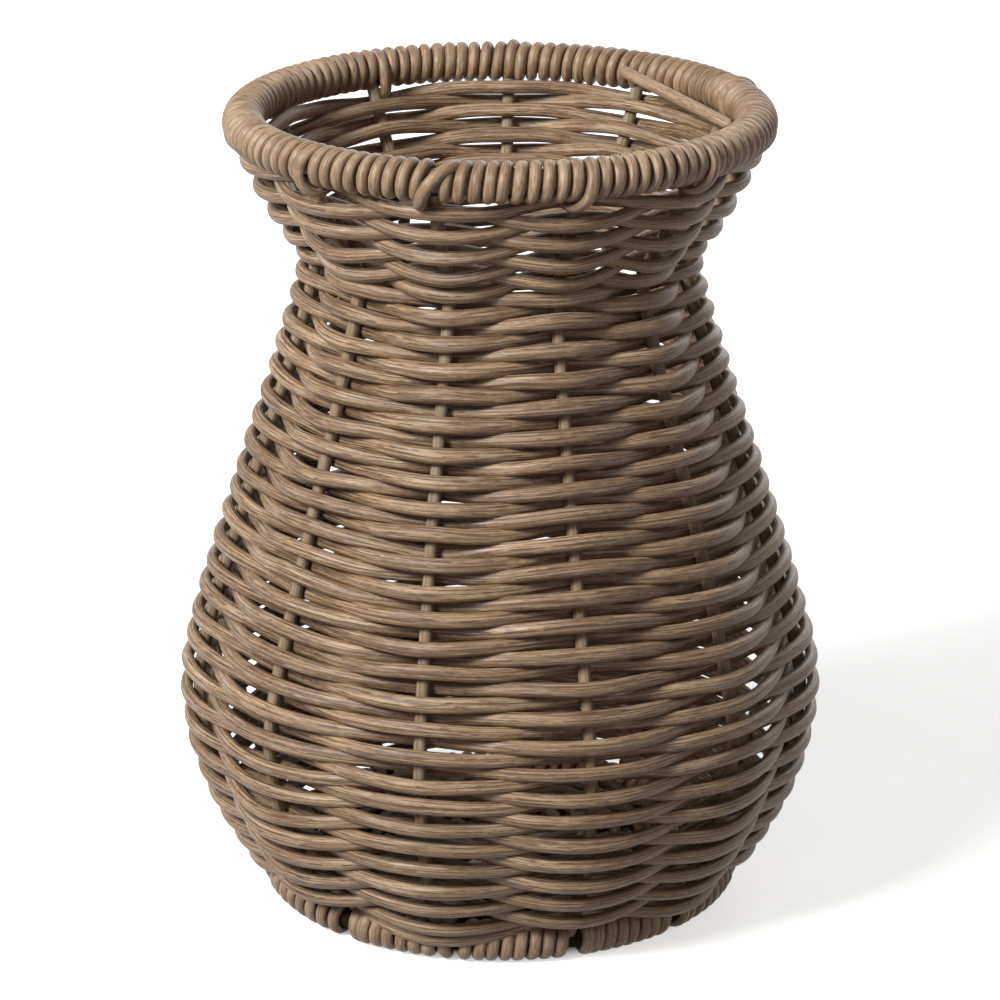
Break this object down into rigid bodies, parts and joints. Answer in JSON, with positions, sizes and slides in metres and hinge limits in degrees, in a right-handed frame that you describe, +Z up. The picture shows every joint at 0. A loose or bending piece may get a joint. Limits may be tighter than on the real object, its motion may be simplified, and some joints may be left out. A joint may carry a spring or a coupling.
{
  "type": "rattan vase",
  "caption": "Open-weave rattan vase with a round belly, drawn-in neck, wrapped rim, wrapped foot and woven base; holds dry stems or branches.",
  "frame": {"origin": "on the vase's axis, in the plane that the foot rests on", "axes": "+Z up along the vase's axis from the foot to the mouth; -Y is the side that faces the viewer"},
  "size_m": [0.2608, 0.2599, 0.332],
  "materials": {
    "stake": "matt",
    "weave": "satin",
    "binding": "satin",
    "hoop": "matt",
    "base": "matt"
  },
  "bodies": {
    "root": {"stake_01": "stake", "stake_02": "stake", "stake_03": "stake", "stake_04": "stake", "stake_05": "stake", "stake_06": "stake", "stake_07": "stake", "stake_08": "stake", "stake_09": "stake", "stake_10": "stake", "stake_11": "stake", "weaver_01": "weave", "weaver_02": "weave", "weaver_03": "weave", "weaver_04": "weave", "weaver_05": "weave", "weaver_06": "weave", "weaver_07": "weave", "weaver_08": "weave", "weaver_09": "weave", "weaver_10": "weave", "weaver_11": "weave", "rim_hoop": "hoop", "rim_wrap": "binding", "rim_wrap_tail": "binding", "foot_hoop": "hoop", "foot_wrap": "binding", "base_stick_01": "base", "base_stick_02": "base", "base_stick_03": "base", "base_stick_04": "base", "base_stick_05": "base", "base_stick_06": "base", "base_weaver": "base"}
  },
  "joints": []
}
